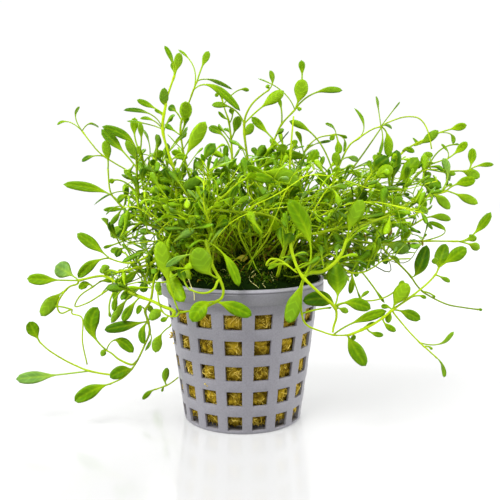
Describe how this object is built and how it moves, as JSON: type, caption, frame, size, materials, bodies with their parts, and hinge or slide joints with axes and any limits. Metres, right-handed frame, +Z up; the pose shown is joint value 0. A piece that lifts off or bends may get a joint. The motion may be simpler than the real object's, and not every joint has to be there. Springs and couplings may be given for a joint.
{
  "type": "potted glossostigma elatinoides",
  "caption": "Potted foreground aquarium plant: a round net pot with rockwool and moss, and thin branching runners with small spoon-shaped green leaves that stand over and hang down the pot.",
  "frame": {"origin": "centre of the pot's flat underside", "axes": "+Z up, along the pot's axis; +X to the right as the plant is seen from its front, which faces -Y"},
  "size_m": [0.1616, 0.0979, 0.1246],
  "materials": {
    "grey plastic": "satin",
    "rockwool": "fibrous",
    "moss": "matt, fibrous",
    "leaf green": "soft gloss, a little light comes through"
  },
  "bodies": {
    "root": {"net_pot": "grey plastic", "rockwool_plug": "rockwool", "moss_mound": "moss", "shoot_front_left": "leaf green", "shoot_front_loop": "leaf green", "shoot_front_right": "leaf green", "shoot_front_right_low": "leaf green", "shoot_right_runner": "leaf green", "shoot_right_fork": "leaf green", "shoot_right_thread": "leaf green", "shoot_right_long": "leaf green", "shoot_right_hanging": "leaf green", "shoot_right_leafy": "leaf green", "shoot_left_runner": "leaf green", "shoot_left_outer": "leaf green", "shoot_left_fork": "leaf green", "shoot_left_hub": "leaf green", "shoot_left_loop": "leaf green", "shoot_left_twin": "leaf green", "shoot_left_pale": "leaf green", "shoot_from_pot_wall": "leaf green", "shoot_left_level": "leaf green", "shoot_left_pair": "leaf green", "shoot_left_tall": "leaf green", "shoot_left_high": "leaf green", "shoot_left_star": "leaf green", "shoot_left_oval": "leaf green", "shoot_tall_left": "leaf green", "shoot_tall_arch": "leaf green", "shoot_middle_left": "leaf green", "shoot_middle": "leaf green", "shoot_tall_right": "leaf green", "shoot_middle_right": "leaf green", "shoot_right_star": "leaf green", "shoot_right_clasp": "leaf green", "shoot_right_tall": "leaf green", "runner_arch": "leaf green", "shoot_right_second": "leaf green", "shoot_right_broad": "leaf green", "shoot_right_cluster": "leaf green", "shoot_right_upper": "leaf green", "shoot_right_reach": "leaf green", "shoot_right_far": "leaf green", "shoot_long_right": "leaf green", "shoot_thick_right": "leaf green", "shoot_right_curl": "leaf green", "shoot_right_level": "leaf green", "shoot_over_moss": "leaf green", "runner_over_moss": "leaf green", "shoot_moss_edge": "leaf green", "shoot_back_left": "leaf green", "shoot_back_middle": "leaf green", "shoot_back_right": "leaf green", "shoot_back_hanging": "leaf green", "shoot_back_low": "leaf green", "shoot_inner_left": "leaf green", "shoot_inner_middle_left": "leaf green", "shoot_inner_middle": "leaf green", "shoot_inner_right": "leaf green", "shoot_inner_far_right": "leaf green"}
  },
  "joints": []
}
